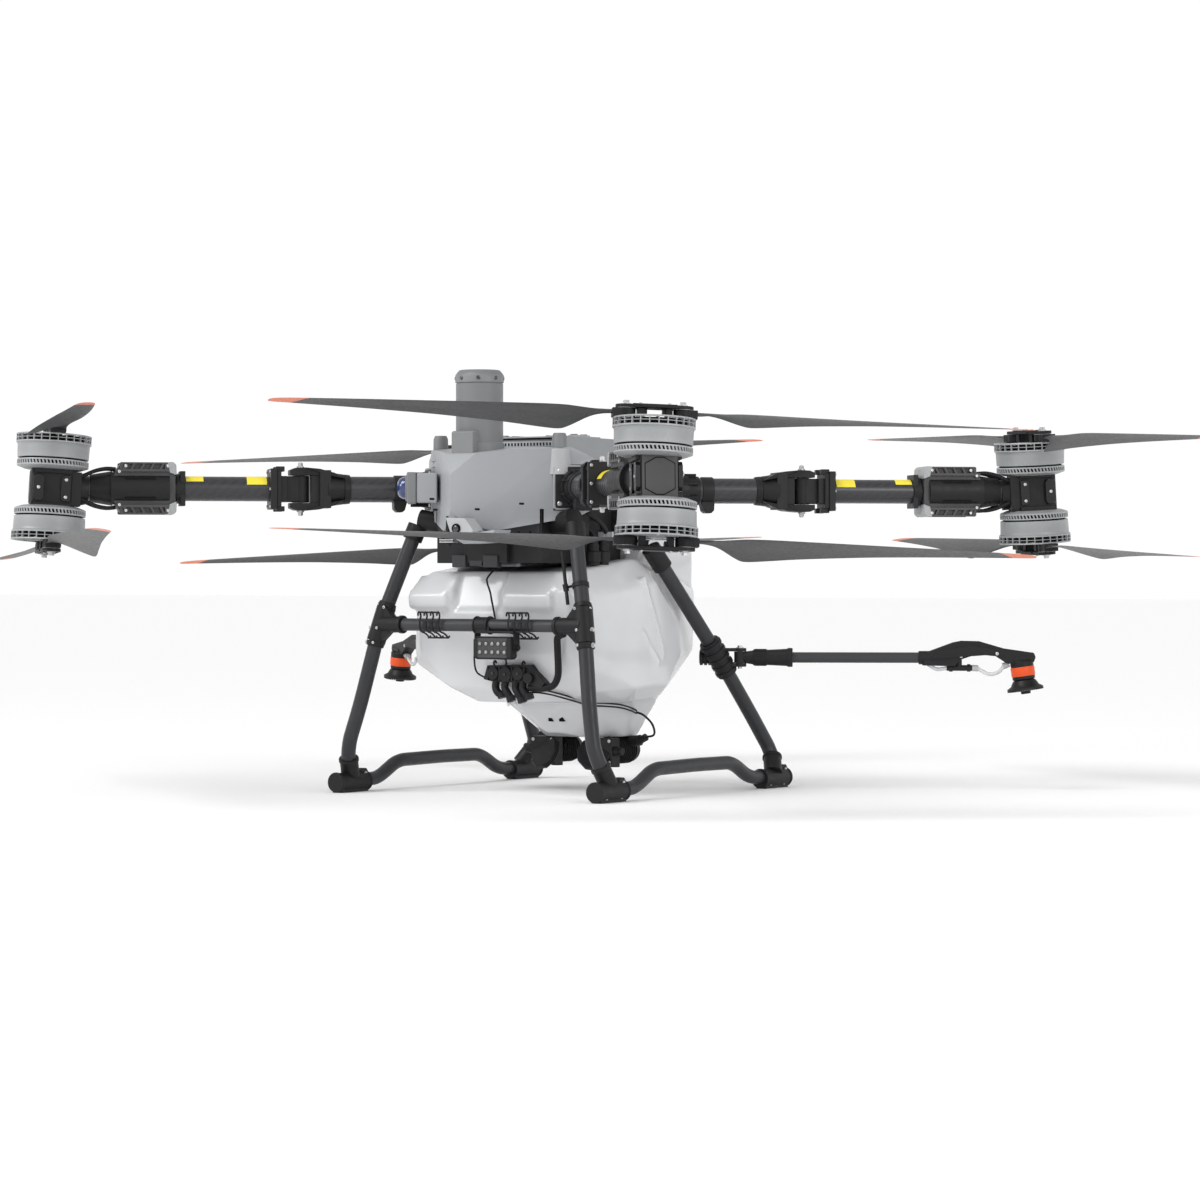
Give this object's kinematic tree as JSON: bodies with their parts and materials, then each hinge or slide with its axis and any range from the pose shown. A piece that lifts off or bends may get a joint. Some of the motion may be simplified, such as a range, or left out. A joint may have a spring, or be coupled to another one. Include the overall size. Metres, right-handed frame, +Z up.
{
  "type": "agricultural spray drone",
  "caption": "Coaxial multirotor crop-spraying drone with folding arms and blades, a translucent tank, swing-out nozzle booms and tube landing gear.",
  "frame": {"origin": "centre of the bounding box, on the ground plane that the skids' feet rest on", "axes": "+Z up, nose towards -Y, the aircraft's own left side towards +X"},
  "size_m": [2.9528, 2.7752, 0.974],
  "materials": {
    "shell": "satin painted nose shell, light grey",
    "battery_hood": "satin grey",
    "mast": "satin mid grey",
    "motor": "satin anodised grey",
    "carbon": "carbon twill under satin lacquer, black fittings",
    "blade": "satin charcoal composite, orange tips",
    "black_plastic": "fine-grained black",
    "gear_tube": "satin dark grey coated tube",
    "tank": "glossy translucent white"
  },
  "bodies": {
    "airframe": {"center_frame": "black_plastic", "nose_shell": "shell", "radar_mast": "mast", "battery": "battery_hood", "tank": "tank", "pump_left": "black_plastic", "pump_right": "black_plastic", "leg_front_left": "gear_tube", "leg_front_right": "gear_tube", "leg_rear_left": "gear_tube", "leg_rear_right": "gear_tube", "skid_left": "gear_tube", "skid_right": "gear_tube", "crossbar": "gear_tube", "arm_root_front_left": "carbon", "arm_root_front_right": "carbon", "arm_root_rear_left": "carbon", "arm_root_rear_right": "carbon"},
    "arm_front_left": {"arm_front_left": "carbon", "esc_front_left": "black_plastic", "motor_mount_front_left": "black_plastic"},
    "rotor_front_left_upper": {"rotor_front_left_upper": "motor"},
    "blade_front_left_upper_a": {"blade_front_left_upper_a": "blade"},
    "blade_front_left_upper_b": {"blade_front_left_upper_b": "blade"},
    "rotor_front_left_lower": {"rotor_front_left_lower": "motor"},
    "blade_front_left_lower_a": {"blade_front_left_lower_a": "blade"},
    "blade_front_left_lower_b": {"blade_front_left_lower_b": "blade"},
    "arm_front_right": {"arm_front_right": "carbon", "esc_front_right": "black_plastic", "motor_mount_front_right": "black_plastic"},
    "rotor_front_right_upper": {"rotor_front_right_upper": "motor"},
    "blade_front_right_upper_a": {"blade_front_right_upper_a": "blade"},
    "blade_front_right_upper_b": {"blade_front_right_upper_b": "blade"},
    "rotor_front_right_lower": {"rotor_front_right_lower": "motor"},
    "blade_front_right_lower_a": {"blade_front_right_lower_a": "blade"},
    "blade_front_right_lower_b": {"blade_front_right_lower_b": "blade"},
    "arm_rear_left": {"arm_rear_left": "carbon", "esc_rear_left": "black_plastic", "motor_mount_rear_left": "black_plastic"},
    "rotor_rear_left_upper": {"rotor_rear_left_upper": "motor"},
    "blade_rear_left_upper_a": {"blade_rear_left_upper_a": "blade"},
    "blade_rear_left_upper_b": {"blade_rear_left_upper_b": "blade"},
    "rotor_rear_left_lower": {"rotor_rear_left_lower": "motor"},
    "blade_rear_left_lower_a": {"blade_rear_left_lower_a": "blade"},
    "blade_rear_left_lower_b": {"blade_rear_left_lower_b": "blade"},
    "arm_rear_right": {"arm_rear_right": "carbon", "esc_rear_right": "black_plastic", "motor_mount_rear_right": "black_plastic"},
    "rotor_rear_right_upper": {"rotor_rear_right_upper": "motor"},
    "blade_rear_right_upper_a": {"blade_rear_right_upper_a": "blade"},
    "blade_rear_right_upper_b": {"blade_rear_right_upper_b": "blade"},
    "rotor_rear_right_lower": {"rotor_rear_right_lower": "motor"},
    "blade_rear_right_lower_a": {"blade_rear_right_lower_a": "blade"},
    "blade_rear_right_lower_b": {"blade_rear_right_lower_b": "blade"},
    "boom_left": {"boom_left": "gear_tube"},
    "atomiser_left": {"atomiser_left": "black_plastic"},
    "boom_right": {"boom_right": "gear_tube"},
    "atomiser_right": {"atomiser_right": "black_plastic"},
    "work_light": {"work_light": "black_plastic"},
    "tank_lid": {"tank_lid": "black_plastic"}
  },
  "joints": [
    {"name": "arm_fold_front_left", "type": "hinge", "parent": "airframe", "child": "arm_front_left", "pos_m": [0.39984, -0.44383, 0.7055], "axis": [0, 0, 1], "range_deg": [0, 90]},
    {"name": "rotor_front_left_upper_spin", "type": "hinge", "parent": "arm_front_left", "child": "rotor_front_left_upper", "pos_m": [0.79871, -0.8427, 0.84277], "axis": [-0.0098, 0.0715, 0.9974], "continuous": true},
    {"name": "blade_front_left_upper_a_fold", "type": "hinge", "parent": "rotor_front_left_upper", "child": "blade_front_left_upper_a", "pos_m": [0.84398, -0.80611, 0.83383], "axis": [-0.0098, 0.0715, 0.9974], "range_deg": [0, 84]},
    {"name": "blade_front_left_upper_b_fold", "type": "hinge", "parent": "rotor_front_left_upper", "child": "blade_front_left_upper_b", "pos_m": [0.75358, -0.88026, 0.83825], "axis": [-0.0098, 0.0715, 0.9974], "range_deg": [-84, 0]},
    {"name": "rotor_front_left_lower_spin", "type": "hinge", "parent": "arm_front_left", "child": "rotor_front_left_lower", "pos_m": [0.8099, -0.85389, 0.56823], "axis": [0.0098, -0.0715, -0.9974], "continuous": true},
    {"name": "blade_front_left_lower_a_fold", "type": "hinge", "parent": "rotor_front_left_lower", "child": "blade_front_left_lower_a", "pos_m": [0.85612, -0.81769, 0.57286], "axis": [-0.0098, 0.0715, 0.9974], "range_deg": [0, 84]},
    {"name": "blade_front_left_lower_b_fold", "type": "hinge", "parent": "rotor_front_left_lower", "child": "blade_front_left_lower_b", "pos_m": [0.76356, -0.88913, 0.57707], "axis": [-0.0098, 0.0715, 0.9974], "range_deg": [-84, 0]},
    {"name": "arm_fold_front_right", "type": "hinge", "parent": "airframe", "child": "arm_front_right", "pos_m": [-0.44586, -0.44383, 0.7055], "axis": [0, 0, -1], "range_deg": [0, 90]},
    {"name": "rotor_front_right_upper_spin", "type": "hinge", "parent": "arm_front_right", "child": "rotor_front_right_upper", "pos_m": [-0.84472, -0.8427, 0.84277], "axis": [0.0098, 0.0715, 0.9974], "continuous": true},
    {"name": "blade_front_right_upper_a_fold", "type": "hinge", "parent": "rotor_front_right_upper", "child": "blade_front_right_upper_a", "pos_m": [-0.80126, -0.88219, 0.83841], "axis": [0.0098, 0.0715, 0.9974], "range_deg": [0, 84]},
    {"name": "blade_front_right_upper_b_fold", "type": "hinge", "parent": "rotor_front_right_upper", "child": "blade_front_right_upper_b", "pos_m": [-0.88833, -0.80418, 0.83367], "axis": [0.0098, 0.0715, 0.9974], "range_deg": [-84, 0]},
    {"name": "rotor_front_right_lower_spin", "type": "hinge", "parent": "arm_front_right", "child": "rotor_front_right_lower", "pos_m": [-0.85592, -0.85389, 0.56823], "axis": [-0.0098, -0.0715, -0.9974], "continuous": true},
    {"name": "blade_front_right_lower_a_fold", "type": "hinge", "parent": "rotor_front_right_lower", "child": "blade_front_right_lower_a", "pos_m": [-0.81098, -0.89088, 0.5772], "axis": [0.0098, 0.0715, 0.9974], "range_deg": [0, 84]},
    {"name": "blade_front_right_lower_b_fold", "type": "hinge", "parent": "rotor_front_right_lower", "child": "blade_front_right_lower_b", "pos_m": [-0.90072, -0.81595, 0.57272], "axis": [0.0098, 0.0715, 0.9974], "range_deg": [-84, 0]},
    {"name": "arm_fold_rear_left", "type": "hinge", "parent": "airframe", "child": "arm_rear_left", "pos_m": [0.39984, 0.40187, 0.7055], "axis": [0, 0, -1], "range_deg": [0, 40]},
    {"name": "rotor_rear_left_upper_spin", "type": "hinge", "parent": "arm_rear_left", "child": "rotor_rear_left_upper", "pos_m": [0.79871, 0.80073, 0.84277], "axis": [-0.0098, -0.0715, 0.9974], "continuous": true},
    {"name": "blade_rear_left_upper_a_fold", "type": "hinge", "parent": "rotor_rear_left_upper", "child": "blade_rear_left_upper_a", "pos_m": [0.74807, 0.83035, 0.83763], "axis": [-0.0098, -0.0715, 0.9974], "range_deg": [0, 84]},
    {"name": "blade_rear_left_upper_b_fold", "type": "hinge", "parent": "rotor_rear_left_upper", "child": "blade_rear_left_upper_b", "pos_m": [0.84949, 0.77209, 0.83445], "axis": [-0.0098, -0.0715, 0.9974], "range_deg": [-84, 0]},
    {"name": "rotor_rear_left_lower_spin", "type": "hinge", "parent": "arm_rear_left", "child": "rotor_rear_left_lower", "pos_m": [0.8099, 0.81193, 0.56823], "axis": [0.0098, 0.0715, -0.9974], "continuous": true},
    {"name": "blade_rear_left_lower_a_fold", "type": "hinge", "parent": "rotor_rear_left_lower", "child": "blade_rear_left_lower_a", "pos_m": [0.76264, 0.84595, 0.57697], "axis": [-0.0098, -0.0715, 0.9974], "range_deg": [0, 84]},
    {"name": "blade_rear_left_lower_b_fold", "type": "hinge", "parent": "rotor_rear_left_lower", "child": "blade_rear_left_lower_b", "pos_m": [0.85704, 0.77694, 0.57295], "axis": [-0.0098, -0.0715, 0.9974], "range_deg": [-84, 0]},
    {"name": "arm_fold_rear_right", "type": "hinge", "parent": "airframe", "child": "arm_rear_right", "pos_m": [-0.44586, 0.40187, 0.7055], "axis": [0, 0, 1], "range_deg": [0, 40]},
    {"name": "rotor_rear_right_upper_spin", "type": "hinge", "parent": "arm_rear_right", "child": "rotor_rear_right_upper", "pos_m": [-0.84472, 0.80073, 0.84277], "axis": [0.0098, -0.0715, 0.9974], "continuous": true},
    {"name": "blade_rear_right_upper_a_fold", "type": "hinge", "parent": "rotor_rear_right_upper", "child": "blade_rear_right_upper_a", "pos_m": [-0.88347, 0.75742, 0.83328], "axis": [0.0098, -0.0715, 0.9974], "range_deg": [0, 84]},
    {"name": "blade_rear_right_upper_b_fold", "type": "hinge", "parent": "rotor_rear_right_upper", "child": "blade_rear_right_upper_b", "pos_m": [-0.80611, 0.84502, 0.8388], "axis": [0.0098, -0.0715, 0.9974], "range_deg": [-84, 0]},
    {"name": "rotor_rear_right_lower_spin", "type": "hinge", "parent": "arm_rear_right", "child": "rotor_rear_right_lower", "pos_m": [-0.85592, 0.81193, 0.56823], "axis": [-0.0098, 0.0715, -0.9974], "continuous": true},
    {"name": "blade_rear_right_lower_a_fold", "type": "hinge", "parent": "rotor_rear_right_lower", "child": "blade_rear_right_lower_a", "pos_m": [-0.89707, 0.77001, 0.57239], "axis": [0.0098, -0.0715, 0.9974], "range_deg": [0, 84]},
    {"name": "blade_rear_right_lower_b_fold", "type": "hinge", "parent": "rotor_rear_right_lower", "child": "blade_rear_right_lower_b", "pos_m": [-0.81464, 0.85288, 0.57752], "axis": [0.0098, -0.0715, 0.9974], "range_deg": [-84, 0]},
    {"name": "boom_fold_left", "type": "hinge", "parent": "airframe", "child": "boom_left", "pos_m": [0.31403, 0.26366, 0.312], "axis": [0, 0, 1], "range_deg": [0, 55]},
    {"name": "atomiser_spin_left", "type": "hinge", "parent": "boom_left", "child": "atomiser_left", "pos_m": [0.89592, 0.59273, 0.25159], "axis": [-0.1211, -0.0685, 0.9903], "continuous": true},
    {"name": "boom_fold_right", "type": "hinge", "parent": "airframe", "child": "boom_right", "pos_m": [-0.36005, 0.26366, 0.312], "axis": [0, 0, -1], "range_deg": [0, 55]},
    {"name": "atomiser_spin_right", "type": "hinge", "parent": "boom_right", "child": "atomiser_right", "pos_m": [-0.94193, 0.59273, 0.25159], "axis": [0.1211, -0.0685, 0.9903], "continuous": true},
    {"name": "work_light_tilt", "type": "hinge", "parent": "airframe", "child": "work_light", "pos_m": [0.03499, -0.33898, 0.341], "axis": [1, 0, 0], "range_deg": [-30, 30]},
    {"name": "tank_lid_turn", "type": "hinge", "parent": "airframe", "child": "tank_lid", "pos_m": [-0.02301, 0.20702, 0.684], "axis": [0, 0, 1], "range_deg": [0, 90]}
  ],
  "couplings": [
    {"joint": "blade_front_left_upper_b_fold", "follows": "blade_front_left_upper_a_fold", "ratio": -1},
    {"joint": "blade_front_left_lower_b_fold", "follows": "blade_front_left_lower_a_fold", "ratio": -1},
    {"joint": "blade_front_right_upper_b_fold", "follows": "blade_front_right_upper_a_fold", "ratio": -1},
    {"joint": "blade_front_right_lower_b_fold", "follows": "blade_front_right_lower_a_fold", "ratio": -1},
    {"joint": "blade_rear_left_upper_b_fold", "follows": "blade_rear_left_upper_a_fold", "ratio": -1},
    {"joint": "blade_rear_left_lower_b_fold", "follows": "blade_rear_left_lower_a_fold", "ratio": -1},
    {"joint": "blade_rear_right_upper_b_fold", "follows": "blade_rear_right_upper_a_fold", "ratio": -1},
    {"joint": "blade_rear_right_lower_b_fold", "follows": "blade_rear_right_lower_a_fold", "ratio": -1}
  ]
}
